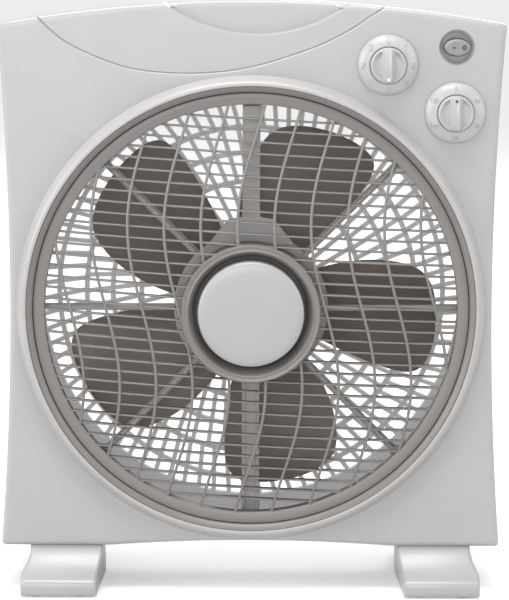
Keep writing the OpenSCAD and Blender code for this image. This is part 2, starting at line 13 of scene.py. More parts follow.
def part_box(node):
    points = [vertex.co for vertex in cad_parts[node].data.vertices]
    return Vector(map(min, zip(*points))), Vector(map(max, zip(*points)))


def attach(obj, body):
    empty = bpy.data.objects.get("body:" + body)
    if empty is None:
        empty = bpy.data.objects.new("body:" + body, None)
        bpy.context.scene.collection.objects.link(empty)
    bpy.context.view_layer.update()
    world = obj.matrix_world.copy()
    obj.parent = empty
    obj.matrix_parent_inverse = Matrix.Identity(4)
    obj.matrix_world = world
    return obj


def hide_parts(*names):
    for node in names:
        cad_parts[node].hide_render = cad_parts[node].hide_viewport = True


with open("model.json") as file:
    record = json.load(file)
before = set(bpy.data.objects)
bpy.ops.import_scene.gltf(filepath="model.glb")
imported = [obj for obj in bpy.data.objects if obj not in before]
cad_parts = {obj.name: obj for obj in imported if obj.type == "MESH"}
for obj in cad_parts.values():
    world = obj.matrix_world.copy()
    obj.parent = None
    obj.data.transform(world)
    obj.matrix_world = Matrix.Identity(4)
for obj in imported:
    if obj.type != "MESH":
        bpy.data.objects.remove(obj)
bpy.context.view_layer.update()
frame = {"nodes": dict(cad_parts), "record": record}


# ---- Sizes, in millimetres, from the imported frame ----

def node_box(name):
    low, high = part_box(name)
    return [v * 1000 for v in low], [v * 1000 for v in high]


def front_centre(name):
    """The middle of a node's box, seen from the front, as (x, z)."""
    low, high = node_box(name)
    return (low[0] + high[0]) / 2, (low[2] + high[2]) / 2


front_low, front_high = node_box("front_housing")
rear_high = node_box("rear_housing")[1]
shaft_low, shaft_high = node_box("motor_shaft")
grille_low, grille_high = node_box("rotary_grille")
spider_low = node_box("front_spider")[0]
guard_low, guard_high = node_box("rear_grille")
foot_high = node_box("right_foot")[1]

HALF_W = front_high[0]
TOP = front_high[2]
BOTTOM = front_low[2]
REAR_Y = rear_high[1]
PARTING_Y = front_high[1]
LIP_RISE = 8.0
FRONT_Y = front_low[1] + LIP_RISE
CROWN = 17.0
CORNER_Z = TOP - CROWN
WAIST = 8.0
BELLY = 4.0
BELLY_HALF = 105.0
MID_Z = (BOTTOM + CORNER_Z) / 2
HALF_H = (CORNER_Z - BOTTOM) / 2
HUB_Z = (shaft_low[2] + shaft_high[2]) / 2
RING_OUT = (grille_high[0] - grille_low[0]) / 2
RING_IN = RING_OUT - 8.1
RING_Y = FRONT_Y - 3
HUB_FRONT = RING_Y - 19
HUB_R = 51.0
DOME = 18.0
LIP_R = 173.0
MOUTH_R = RING_OUT + 0.9
BEZEL_R = MOUTH_R + 4.6
SPIDER_Y = spider_low[1]
BLADE_R = 140.0
BLADE_Y = -5.0
GUARD_OUT = (guard_high[0] - guard_low[0]) / 2
GUARD_BACK = guard_high[1]
SPEED_AT = front_centre("speed_knob")
TIMER_AT = front_centre("timer_knob")
ROCKER_AT = front_centre("rocker_switch_body")
DIAL_R = 22.3
KNOB_R = 13.1
DISH_R = 13.1
FOOT_W = 56.0
FOOT_X = foot_high[0] - FOOT_W / 2
TOE = foot_high[1]
FOOT_TOP = foot_high[2]
SCOOP_AT = (4.0, 527.0)
SCOOP_R = 112.5
PANEL_MOUTH_R = 165.5
POCKET_HALF = 52.5
POCKET_LOW = 395.5
POCKET_HIGH = 426.5
POCKET_CORNER = 7
WELL_FLOOR = 2.6
CASE_SCREWS = ((-174, 384), (174, 384), (-172, 54), (172, 54))
INLET_AT = (128.0, 62.0)
ROOF_FALL = math.radians(4)
ROOF_START = 4


# ---- Camera ----

def place_camera():
    target = Vector((0.00257, FRONT_Y / 1000, 0.21987))
    pitch = math.radians(9)
    roll = math.radians(0.19)
    distance = 2.195
    view = Vector((0, math.cos(pitch), -math.sin(pitch)))
    data = bpy.data.cameras.new("Camera")
    data.lens = 179.0
    data.sensor_width = 36
    camera = bpy.data.objects.new("Camera", data)
    bpy.context.scene.collection.objects.link(camera)
    turn = view.to_track_quat("-Z", "Y").to_matrix() @ Matrix.Rotation(roll, 3, "Z")
    camera.matrix_world = Matrix.Translation(target - view * distance) @ turn.to_4x4()
    bpy.context.scene.camera = camera


place_camera()


# ---- Materials ----

class Value:
    """A shader socket with arithmetic: each operator adds one Math node."""

    def __init__(self, paint, socket):
        self.paint = paint
        self.socket = socket

    def _math(self, operation, a, b):
        return self.paint.node("ShaderNodeMath", {"operation": operation}, {0: a, 1: b})

    def __add__(self, other):
        return self._math("ADD", self, other)

    def __radd__(self, other):
        return self._math("ADD", other, self)

    def __sub__(self, other):
        return self._math("SUBTRACT", self, other)

    def __rsub__(self, other):
        return self._math("SUBTRACT", other, self)

    def __mul__(self, other):
        return self._math("MULTIPLY", self, other)

    def __rmul__(self, other):
        return self._math("MULTIPLY", other, self)

    def __pow__(self, other):
        return self._math("POWER", self, other)


class Paint:
    """One procedural finish: a Principled shader and the nodes that vary it over the surface."""

    def __init__(self, name, **constants):
        self.material = bpy.data.materials.new(name)
        self.material.use_nodes = True
        self.tree = self.material.node_tree
        self.tree.nodes.clear()
        self.shader = self.tree.nodes.new("ShaderNodeBsdfPrincipled")
        output = self.tree.nodes.new("ShaderNodeOutputMaterial")
        self.tree.links.new(self.shader.outputs[0], output.inputs["Surface"])
        for socket, value in constants.items():
            self.shader.inputs[socket.replace("_", " ")].default_value = value

    def node(self, kind, settings=None, sockets=None, out=0):
        made = self.tree.nodes.new(kind)
        for key, value in (settings or {}).items():
            if key == "stops":
                ramp = made.color_ramp
                while len(ramp.elements) < len(value):
                    ramp.elements.new(0.5)
                for element, (place, colour) in zip(ramp.elements, value):
                    element.position = place
                    element.color = (*colour, 1)
            else:
                setattr(made, key, value)
        for key, value in (sockets or {}).items():
            if isinstance(value, Value):
                self.tree.links.new(value.socket, made.inputs[key])
            else:
                made.inputs[key].default_value = value
        return Value(self, made.outputs[out])

    def place(self):
        return self.node("ShaderNodeTexCoord", out=3)

    def noise(self, scale, detail=3.0, stretch=None):
        where = self.place()
        if stretch:
            where = self.node("ShaderNodeVectorMath", {"operation": "MULTIPLY"}, {0: where, 1: stretch})
        return self.node("ShaderNodeTexNoise", {}, {"Vector": where, "Scale": scale, "Detail": detail})

    def blend(self, low, high, factor):
        mix = {0: factor, 6: (*low, 1), 7: (*high, 1)}
        return self.node("ShaderNodeMix", {"data_type": "RGBA"}, mix, out=2)

    def feed(self, socket, value):
        self.tree.links.new(value.socket, self.shader.inputs[socket])

    def relief(self, height, strength, distance):
        self.feed("Normal", self.node("ShaderNodeBump", {}, {
            "Strength": strength, "Distance": distance, "Height": height}))


def grey(colour, amount):
    return tuple(c * amount for c in colour)


def moulded_plastic(name, colour, rough, grain=2600.0, relief=0.12, mottle=0.05, specular=0.4, glow=0.0):
    """Satin moulding: a fine spark-eroded grain, faint flow mottling and slightly uneven gloss.

    A glow stands for daylight that comes through thin pale bars.
    """
    paint = Paint(name, Specular_IOR_Level=specular)
    if glow:
        paint.shader.inputs["Emission Color"].default_value = (1.0, 0.99, 0.98, 1)
        paint.shader.inputs["Emission Strength"].default_value = glow
    flow = paint.noise(22.0, 4.0)
    paint.feed("Base Color", paint.blend(grey(colour, 1 - mottle), grey(colour, 1 + mottle), flow))
    fine = paint.noise(grain, 2.0)
    paint.feed("Roughness", rough + (fine - 0.5) * 0.16 + (flow - 0.5) * 0.08)
    paint.relief(fine, relief, 0.0002)
    return paint.material


def brushed_metal(name, colour, rough, stretch=(40.0, 900.0, 900.0), relief=0.15):
    """Worked metal: fine drawn lines and a cloudy oxide film."""
    paint = Paint(name, Metallic=1.0)
    lines = paint.noise(1.0, 5.0, stretch)
    cloud = paint.noise(60.0, 3.0)
    paint.feed("Base Color", paint.blend(grey(colour, 0.8), grey(colour, 1.12), cloud))
    paint.feed("Roughness", rough + (lines - 0.5) * 0.25)
    paint.relief(lines, relief, 0.0001)
    return paint.material


def cast_metal(name, colour, rough):
    """Bead-blasted casting: a coarse pebbled skin."""
    paint = Paint(name, Metallic=0.9)
    pebbles = paint.noise(700.0, 3.0)
    stain = paint.noise(35.0, 4.0)
    paint.feed("Base Color", paint.blend(grey(colour, 0.82), grey(colour, 1.08), stain))
    paint.feed("Roughness", rough + (pebbles - 0.5) * 0.2)
    paint.relief(pebbles, 0.4, 0.0003)
    return paint.material


def wound_copper(name):
    """Varnished windings: turns of wire as fine rings with a dark line between them."""
    paint = Paint(name, Metallic=0.8)
    turns = paint.node("ShaderNodeTexWave", {"wave_type": "RINGS", "rings_direction": "Y"}, {
        "Vector": paint.place(), "Scale": 420.0, "Distortion": 0.6, "Detail": 2.0})
    paint.feed("Base Color", paint.blend((0.20, 0.06, 0.02), (0.62, 0.27, 0.12), turns))
    paint.feed("Roughness", 0.32 + turns * 0.15)
    paint.relief(turns, 0.5, 0.0004)
    return paint.material


def matt_rubber(name, colour):
    """Moulded rubber: dull, with a soft dusty bloom."""
    paint = Paint(name, Specular_IOR_Level=0.25)
    dust = paint.noise(120.0, 5.0)
    paint.feed("Base Color", paint.blend(colour, grey(colour, 1.7), dust ** 3.0))
    paint.feed("Roughness", 0.72 + (dust - 0.5) * 0.2)
    paint.relief(paint.noise(1500.0, 2.0), 0.25, 0.0002)
    return paint.material


FINISH = {
    "shell": moulded_plastic("shell_plastic", (0.272, 0.268, 0.264), 0.33, specular=0.5),
    "trim": moulded_plastic("trim_plastic", (0.134, 0.127, 0.123), 0.36, grain=3000.0, relief=0.08),
    "blade": moulded_plastic("blade_plastic", (0.165, 0.142, 0.127), 0.34, grain=1800.0, relief=0.06),
    "cap": moulded_plastic("control_plastic", (0.262, 0.260, 0.256), 0.30, grain=3200.0, relief=0.05),
    "rocker": moulded_plastic("rocker_plastic", (0.178, 0.180, 0.177), 0.30, grain=3200.0, relief=0.04),
    "black": moulded_plastic("black_plastic", (0.016, 0.016, 0.018), 0.45, grain=1600.0, relief=0.1),
    "steel": brushed_metal("turned_steel", (0.56, 0.56, 0.57), 0.32),
    "screw": brushed_metal("plated_steel", (0.60, 0.59, 0.55), 0.26, (300.0, 300.0, 300.0)),
    "casting": cast_metal("cast_aluminium", (0.55, 0.55, 0.56), 0.48),
    "copper": wound_copper("wound_copper"),
    "bronze": cast_metal("sintered_bronze", (0.50, 0.33, 0.15), 0.42),
    "ceramic": moulded_plastic("ivory_polyamide", (0.62, 0.57, 0.44), 0.5),
    "rubber": matt_rubber("matt_rubber", (0.022, 0.022, 0.023)),
    "dial": moulded_plastic("dial_plastic", (0.300, 0.297, 0.292), 0.32, grain=3200.0, relief=0.05),
    "spider": moulded_plastic("spider_plastic", (0.320, 0.308, 0.300), 0.40),
    # The guard's glow=0.17 is painted light: a faint emission that stands for daylight coming through its
    # thin pale bars
    "guard": moulded_plastic("guard_plastic_painted_glow", (0.38, 0.375, 0.370), 0.42, glow=0.17),
    "mark": moulded_plastic("pointer_ink", (0.75, 0.75, 0.74), 0.5, relief=0.02),
    "ink": moulded_plastic("dark_ink", (0.05, 0.05, 0.05), 0.5, relief=0.02),
}

# Carried-over solids get the finish of their own material slot, but the duct shares the guard's pale one,
# with its painted glow (emission standing for light coming through)
for part in frame["record"]["subparts"]:
    finish = "guard" if part["node"] == "air_duct" else part["material_slot"]
    solid = frame["nodes"].get(part["node"])
    if solid is not None and solid.data is not None:
        if not solid.material_slots:
            solid.data.materials.append(None)
        for place in solid.material_slots:
            place.link = "OBJECT"
            place.material = FINISH[finish]


# ---- Making shapes ----

def circle(at, r, count):
    angles = [2 * math.pi * k / count for k in range(count)]
    return [(at[0] + r * math.cos(a), at[1] + r * math.sin(a)) for a in angles]


class Shape:
    """Points in millimetres and faces, gathered and then made into one mesh."""

    def __init__(self):
        self.points = []
        self.faces = []

    def ring(self, points):
        first = len(self.points)
        self.points.extend(points)
        return list(range(first, first + len(points)))

    def bridge(self, a, b, closed=True):
        count = len(a)
        for i in range(count if closed else count - 1):
            j = (i + 1) % count
            self.faces.append((a[i], a[j], b[j], b[i]))

    def cap(self, ring):
        self.faces.append(tuple(ring))

    def loft(self, rings, closed=True, caps=True):
        """Skins over rings of points, all of one count."""
        made = [self.ring(r) for r in rings]
        for a, b in zip(made, made[1:]):
            self.bridge(a, b, closed)
        if caps:
            self.cap(made[0])
            self.cap(list(reversed(made[-1])))
        return made

    def turned(self, at, profile, steps=160, closed=True):
        """Turns a profile of (radius, y) points about the Y axis through (x, z)."""
        rings = []
        for r, y in profile:
            if r < 1e-6:
                rings.append(self.ring([(at[0], y, at[1])]))
            else:
                rings.append(self.ring([(x, y, z) for x, z in circle(at, r, steps)]))
        pairs = list(zip(rings, rings[1:]))
        if closed:
            pairs.append((rings[-1], rings[0]))
        for a, b in pairs:
            if len(a) == 1 and len(b) == 1:
                continue
            if len(a) == 1 or len(b) == 1:
                tip, rim = (a[0], b) if len(a) == 1 else (b[0], a)
                for i in range(steps):
                    self.faces.append((tip, rim[i], rim[(i + 1) % steps]))
            else:
                self.bridge(a, b)

    def piece(self, name, body, slot, replaces=(), sharp=32, finish=None, bevel=0.0, weighted=False,
              thick=0.0):
        """Makes the mesh, gives it its finish, and rides it on its body."""
        mesh = bpy.data.meshes.new(name)
        mesh.from_pydata([tuple(c / 1000 for c in p) for p in self.points], [], self.faces)
        work = bmesh.new()
        work.from_mesh(mesh)
        bmesh.ops.remove_doubles(work, verts=work.verts, dist=2e-6)
        bmesh.ops.recalc_face_normals(work, faces=work.faces)
        work.to_mesh(mesh)
        work.free()
        mesh.polygons.foreach_set("use_smooth", [True] * len(mesh.polygons))
        mesh.set_sharp_from_angle(angle=math.radians(sharp))
        made = bpy.data.objects.new(name, mesh)
        bpy.context.scene.collection.objects.link(made)
        made.data.materials.append(FINISH[finish or slot])
        if thick:
            solid = made.modifiers.new("Wall", "SOLIDIFY")
            solid.thickness = thick / 1000
            solid.offset = -1
        if bevel:
            edge = made.modifiers.new("Rounding", "BEVEL")
            edge.width = bevel / 1000
            edge.segments = 3
            edge.limit_method = "ANGLE"
            edge.angle_limit = math.radians(38)
            edge.harden_normals = True
        if weighted:
            shade = made.modifiers.new("Shading", "WEIGHTED_NORMAL")
            shade.keep_sharp = True
        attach(made, body)
        if replaces:
            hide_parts(*replaces)
        return made


def steps_between(low, high, count):
    return [low + (high - low) * i / count for i in range(count + 1)]


def follow(value, keys):
    """Straight-line interpolation through (place, height) keys."""
    places = [k[0] for k in keys]
    return float(np.interp(value, places, [k[1] for k in keys]))


def smooth_line(points, per_span=10):
    """A Catmull-Rom curve through points in the plane."""
    pts = [np.array(p, float) for p in points]
    pts = [2 * pts[0] - pts[1]] + pts + [2 * pts[-1] - pts[-2]]
    line = []
    for a, b, c, d in zip(pts, pts[1:], pts[2:], pts[3:]):
        for i in range(per_span):
            t = i / per_span
            line.append(0.5 * (2 * b + (c - a) * t + (2 * a - 5 * b + 4 * c - d) * t * t
                               + (3 * b - a - 3 * c + d) * t ** 3))
    line.append(pts[-2])
    return np.array(line)


# ---- The shells' outline ----

def side_x(z, inset):
    return HALF_W - WAIST * (1 - ((z - MID_Z) / HALF_H) ** 2) - inset


def top_z(x, inset):
    return CORNER_Z + CROWN * (1 - (x / HALF_W) ** 2) - inset


def bottom_z(x, inset):
    return BOTTOM + BELLY * max(0.0, 1 - (x / BELLY_HALF) ** 2) + inset


CORNER = 3.0
SEAM = smooth_line([
    (-163, 434), (-155.9, 426.9), (-145, 416.6), (-135.5, 409.3), (-117.4, 400.1), (-94.1, 391.6),
    (-75.2, 388), (-52, 386.5), (-36.7, 386.7), (-14.2, 388.7), (9.8, 393.8), (37.4, 402.7),
    (56.3, 410.4), (74.5, 420.3), (83.9, 426.9), (93.4, 432.8), (102, 438.5)])


def top_places():
    """Places across the top edge: closer together where the seam and the scoop run out over it."""
    places = set(np.round(np.linspace(-1, 1, 97), 5))
    for middle, reach in ((-158, 6), (95, 7), (-67, 5), (75, 5)):
        for x in np.arange(middle - reach, middle + reach, 0.45):
            places.add(round(x / HALF_W, 5))
    return sorted(places, reverse=True)


TOP_PLACES = top_places()


def roof_drop(y):
    """How far the top has fallen away at a depth."""
    return max(0.0, y - FRONT_Y - ROOF_START) * math.tan(ROOF_FALL)


def outline(inset, drop=0.0):
    """The body's outline at an inset, as a loop with the same number of points at any inset."""
    half_top = side_x(CORNER_Z - drop, inset)
    low, high = BOTTOM + inset, CORNER_Z - inset - drop
    loop = []
    for z in steps_between(low + CORNER, high - CORNER, 40):
        loop.append((side_x(z, inset), z))
    loop.append((half_top - 0.3 * CORNER, high - 0.3 * CORNER))
    for p in TOP_PLACES:
        x = p * (half_top - CORNER)
        loop.append((x, top_z(x * HALF_W / half_top, inset) - drop))
    loop.append((-half_top + 0.3 * CORNER, high - 0.3 * CORNER))
    for z in steps_between(high - CORNER, low + CORNER, 40):
        loop.append((-side_x(z, inset), z))
    loop.append((-side_x(low, inset) + 0.3 * CORNER, low + 0.3 * CORNER))
    half_low = side_x(low, inset) - CORNER
    for x in steps_between(-half_low, half_low, 60):
        loop.append((x, bottom_z(x, inset)))
    loop.append((side_x(low, inset) - 0.3 * CORNER, low + 0.3 * CORNER))
    return loop


def inside(points, loop):
    """Even-odd test of many points against one loop."""
    px, pz = points[:, 0], points[:, 1]
    hit = np.zeros(len(points), bool)
    for (ax, az), (bx, bz) in zip(loop, loop[1:] + loop[:1]):
        if az == bz:
            continue
        cross = ((az > pz) != (bz > pz)) & (px < (bx - ax) * (pz - az) / (bz - az) + ax)
        hit ^= cross
    return hit


def fill_panel(shape, edge, holes, lines, depth):
    """Fills an outline, less its holes, with triangles along the feature lines; depth(x, z) gives y."""
    points, edges = [], []

    def add(line, closed):
        first = len(points)
        points.extend(Vector((float(p[0]), float(p[1]))) for p in line)
        last = first + len(line)
        edges.extend((i, i + 1) for i in range(first, last - 1))
        if closed:
            edges.append((last - 1, first))

    add(edge, True)
    for hole in holes:
        add(hole, True)
    for line, closed in lines:
        keep = inside(np.array([(p[0], p[1]) for p in line]), edge)
        for hole in holes:
            keep &= ~inside(np.array([(p[0], p[1]) for p in line]), hole)
        if keep.all():
            add(line, closed)
        else:
            run = []
            for p, ok in zip(line, keep):
                if ok:
                    run.append(p)
                    continue
                if len(run) > 1:
                    add(run, False)
                run = []
            if len(run) > 1:
                add(run, False)
    out_points, _, triangles, *_ = delaunay_2d_cdt(points, edges, [], 0, 1e-5)
    flat = np.array([(p.x, p.y) for p in out_points])
    tris = np.array([t[:3] for t in triangles])
    middle = flat[tris].mean(axis=1)
    keep = inside(middle, edge)
    for hole in holes:
        keep &= ~inside(middle, hole)
    made = shape.ring([(x, depth(x, z), z) for x, z in flat])
    for t in tris[keep]:
        shape.faces.append(tuple(made[i] for i in t))


# ---- Front shell ----

SEAM_KEYS = [(-2.8, 0.0), (-1.15, 0.0), (-0.1, 1.1), (0.05, 1.8), (0.45, 1.8), (0.55, 0.8), (2.2, 0.8)]
SCOOP_KEYS = [(-2.4, 0.0), (-0.5, 0.0), (-0.4, 0.8), (0.2, 1.5), (0.8, 5.7), (1.0, 6.0), (2.6, 6.0)]
SEAT_KEYS = [(DIAL_R - 2, 0.6), (DIAL_R - 0.05, 0.6), (DIAL_R + 0.12, 0.0), (DIAL_R + 1.8, 0.0)]
DISH_KEYS = [(0, 4.2), (10.9, 4.2), (11.1, 3.0), (12.2, 1.2), (DISH_R, 0.0), (DISH_R + 2.7, 0.0)]
FILLET = 3.6
REAR_FILLET = 3.0


def seam_distance(x, z):
    """Signed distance from the seam, positive above it."""
    a, b = SEAM[:-1], SEAM[1:]
    run = b - a
    p = np.array((x, z))
    t = np.clip(((p - a) * run).sum(axis=1) / (run ** 2).sum(axis=1), 0, 1)
    gap = p - (a + run * t[:, None])
    size = np.hypot(gap[:, 0], gap[:, 1])
    i = int(size.argmin())
    return math.copysign(size[i], run[i][0] * gap[i][1] - run[i][1] * gap[i][0])


def seam_line(distance):
    run = np.gradient(SEAM, axis=0)
    side = np.stack([-run[:, 1], run[:, 0]], axis=1)
    side /= np.hypot(side[:, 0], side[:, 1])[:, None]
    return [tuple(p) for p in SEAM + side * distance]


def front_sink(x, z):
    """How far the front face is sunk at a place."""
    if z > 380 and abs(x) < 170:
        seam = follow(seam_distance(x, z), SEAM_KEYS)
    else:
        seam = 0.0
    scoop = follow(SCOOP_R - math.hypot(x - SCOOP_AT[0], z - SCOOP_AT[1]), SCOOP_KEYS)
    sink = max(seam, scoop)
    for at in (SPEED_AT, TIMER_AT):
        r = math.hypot(x - at[0], z - at[1])
        if r < DIAL_R + 0.12:
            sink = follow(r, SEAT_KEYS)
    r = math.hypot(x - ROCKER_AT[0], z - ROCKER_AT[1])
    if r < DISH_R:
        sink = follow(r, DISH_KEYS)
    return sink


def wall_loops(shape, sections):
    """Skins the shell's edge through (inset, y, follows the face) sections."""
    rings = []
    for inset, y, sunk in sections:
        loop = outline(inset, roof_drop(y))
        rings.append(shape.ring([(x, y + (front_sink(x, z) if sunk else 0.0), z) for x, z in loop]))
    for a, b in zip(rings, rings[1:]):
        shape.bridge(a, b)


def make_front_shell():
    shape = Shape()
    edge = outline(FILLET)
    mouth = circle((0, HUB_Z), PANEL_MOUTH_R, 240)
    lines = [(seam_line(d), False) for d, _ in SEAM_KEYS]
    for d, _ in SCOOP_KEYS:
        lines.append((circle(SCOOP_AT, SCOOP_R - d, 900), True))
    for at in (SPEED_AT, TIMER_AT):
        for r, _ in SEAT_KEYS:
            lines.append((circle(at, r, 96), True))
    for r, _ in DISH_KEYS[1:]:
        lines.append((circle(ROCKER_AT, r, 72), True))
    lines.append(([ROCKER_AT, (ROCKER_AT[0] + 0.5, ROCKER_AT[1])], False))
    lines.append((outline(FILLET + 1.6), True))
    fill_panel(shape, edge, [mouth], lines, lambda x, z: FRONT_Y + front_sink(x, z))
    sections = []
    for i in range(7):
        a = math.radians(15 * i)
        sections.append((FILLET * (1 - math.sin(a)), FRONT_Y + FILLET * (1 - math.cos(a)), True))
    sections += [
        (0, -34, False), (0, -15, False), (0, PARTING_Y - 0.9, False), (0.25, PARTING_Y - 0.5, False),
        (0.7, PARTING_Y - 0.35, False), (0.9, PARTING_Y, False)]
    wall_loops(shape, sections)
    shape.piece("front_shell", "root", "shell", ["front_housing"], weighted=True, thick=1.8)


def make_mouth_lip():
    y = FRONT_Y
    lip = Shape()
    lip.turned((0, HUB_Z), [
        (LIP_R + 1.2, y + 4.5), (LIP_R + 0.3, y + 0.8), (LIP_R - 0.2, y - 0.6), (LIP_R - 1.4, y - 2.6),
        (LIP_R - 2.8, y - 5), (LIP_R - 4.0, y - 6.8), (LIP_R - 5.0, y - 7.7), (LIP_R - 5.8, y - 8),
        (LIP_R - 7.2, y - 7.9), (LIP_R - 7.45, y - 7.8), (LIP_R - 7.6, y - 7.5), (LIP_R - 7.6, y),
        (BEZEL_R - 2.2, y + 2), (BEZEL_R - 2.2, y + 8), (LIP_R - 4, y + 8), (LIP_R - 3, y + 4.5)], 240)
    lip.piece("mouth_lip", "root", "shell", sharp=50)


# ---- Rear shell ----

def rounded_rectangle(x0, x1, z0, z1, r, steps=6):
    loop = []
    corners = (
        (x1 - r, z1 - r, 0), (x0 + r, z1 - r, 90), (x0 + r, z0 + r, 180), (x1 - r, z0 + r, 270))
    for cx, cz, start in corners:
        for i in range(steps + 1):
            a = math.radians(start + 90 * i / steps)
            loop.append((cx + r * math.cos(a), cz + r * math.sin(a)))
    return loop


def make_rear_shell():
    shape = Shape()
    edge = outline(REAR_FILLET, roof_drop(REAR_Y))
    mouth = circle((0, HUB_Z), GUARD_OUT + 2.6, 240)
    pocket = rounded_rectangle(-POCKET_HALF, POCKET_HALF, POCKET_LOW, POCKET_HIGH, POCKET_CORNER)
    wells = [circle(at, 4.6, 40) for at in CASE_SCREWS]
    inlet = circle(INLET_AT, 6.4, 40)
    rims = [(outline(REAR_FILLET + 1.6, roof_drop(REAR_Y)), True)]
    fill_panel(shape, edge, [mouth, pocket, inlet] + wells, rims, lambda x, z: REAR_Y)
    sections = [(0.9, PARTING_Y, False), (0.7, PARTING_Y + 0.35, False), (0.25, PARTING_Y + 0.5, False),
                (0, PARTING_Y + 0.9, False), (0, 26, False)]
    for i in range(6):
        a = math.radians(18 * i)
        sections.append((REAR_FILLET * (1 - math.cos(a)), REAR_Y - REAR_FILLET * (1 - math.sin(a)), False))
    wall_loops(shape, sections)
    mouth_ring = [shape.ring([(x, y, z) for x, z in mouth]) for y in (REAR_Y, REAR_Y - 2.4)]
    shape.bridge(*mouth_ring)
    shape.piece("rear_shell", "root", "shell", ["rear_housing"], weighted=True, thick=1.6)


def make_handle_recess():
    grip = Shape()
    levels = [(0.6, REAR_Y + 0.02), (0.0, REAR_Y - 0.4), (0.0, 28), (-1.0, 25), (-3.0, 23), (-6.0, 22.4)]
    rings = []
    for grow, y in levels:
        half = POCKET_HALF + grow
        corner = max(1.5, POCKET_CORNER + grow)
        loop = rounded_rectangle(-half, half, POCKET_LOW - grow, POCKET_HIGH + grow, corner)
        rings.append(grip.ring([(x, y, z) for x, z in loop]))
    for a, b in zip(rings, rings[1:]):
        grip.bridge(a, b)
    grip.cap(rings[-1])
    grip.piece("handle_recess", "root", "shell", sharp=40, thick=1.6)


def make_screw_wells():
    wells = Shape()
    for at in CASE_SCREWS:
        wells.turned(at, [
            (4.7, REAR_Y + 0.02), (4.3, REAR_Y - 0.3), (3.7, REAR_Y - WELL_FLOOR),
            (0, REAR_Y - WELL_FLOOR), (0, REAR_Y - 4.4), (5.4, REAR_Y - 4.4), (5.6, REAR_Y - 1.5)], 40)
    wells.piece("screw_wells", "root", "shell", sharp=40)


# ---- Bezel and turning grille ----

def make_bezel():
    shape = Shape()
    sleeve = MOUTH_R + 2.3
    y = FRONT_Y
    shape.turned((0, HUB_Z), [
        (BEZEL_R, y - 6.3), (BEZEL_R - 0.3, y - 6.6), (BEZEL_R - 0.9, y - 6.4), (MOUTH_R + 0.9, y - 3.9),
        (MOUTH_R + 0.2, y - 3.2), (MOUTH_R, y - 2.4), (MOUTH_R, SPIDER_Y), (sleeve, SPIDER_Y),
        (sleeve, y + 1.7), (BEZEL_R, y - 0.4)], 240)
    shape.piece("mouth_bezel", "root", "trim", ["grille_bezel"], sharp=50)


def face_y(r):
    """Depth of the grille's domed face at a radius."""
    return RING_Y + 1 - DOME * (1 - (r / RING_IN) ** 2)


RIB_PITCH, RIB_SWING, RIB_SHIFT = 26.8, 11.7, 0.4
RIB_HALF_WAVE, RIB_WAVE_FROM, RIB_LEAN = 124, 4, 0.02
VANE_PITCH, VANE_SLOPE = 8.3, math.radians(3.3)


def rib_x(x0, z):
    """Where a rib stands at a height from the hub: a leaning S."""
    return x0 - RIB_SWING * math.sin(math.pi * (z - RIB_WAVE_FROM) / RIB_HALF_WAVE) + RIB_LEAN * z


def crossing(x0, r, low, high):
    """The height at which a rib meets a circle, found by halving."""
    for _ in range(30):
        m = (low + high) / 2
        if math.hypot(rib_x(x0, m), m) < r:
            low = m
        else:
            high = m
    return (low + high) / 2


def add_vane(shape, z):
    reach = math.sqrt((RING_IN + 1.6) ** 2 - z * z)
    hole = math.sqrt((HUB_R - 1.2) ** 2 - z * z) if abs(z) < HUB_R - 1.2 else 0.0
    section = [
        (6.8, -0.4), (3.5, -0.56), (0.9, -0.68), (0.3, -0.58), (0.0, -0.25), (0.0, 0.25), (0.3, 0.58),
        (0.9, 0.68), (3.5, 0.56), (6.8, 0.4)]
    for a, b in ([(-reach, -hole), (hole, reach)] if hole else [(-reach, reach)]):
        rings = []
        for x in steps_between(a, b, max(10, int((b - a) / 5))):
            y = face_y(math.hypot(x, z))
            ring = []
            for dy, dz in section:
                zz = z + dz
                ring.append((x * math.cos(VANE_SLOPE) + zz * math.sin(VANE_SLOPE), y + dy,
                             HUB_Z - x * math.sin(VANE_SLOPE) + zz * math.cos(VANE_SLOPE)))
            rings.append(ring)
        shape.loft(rings)


def add_rib(shape, x0):
    far, near = RING_IN + 1.6, HUB_R - 1.2
    top, low = crossing(x0, far, 0, 170), crossing(x0, far, 0, -170)
    spans = [(low, top)]
    if math.hypot(rib_x(x0, 0), 0) < near:
        spans = [(low, crossing(x0, near, 0, -90)), (crossing(x0, near, 0, 90), top)]
    section = [
        (-1.0, 1.4), (-1.1, -0.2), (-0.85, -0.75), (-0.35, -1.0), (0.35, -1.0), (0.85, -0.75),
        (1.1, -0.2), (1.0, 1.4)]
    for a, b in spans:
        rings = []
        for z in steps_between(a, b, max(10, int(abs(b - a) / 4))):
            x = rib_x(x0, z)
            y = face_y(math.hypot(x, z))
            rings.append([(x + dx, y + dy, HUB_Z + z) for dx, dy in section])
        shape.loft(rings)


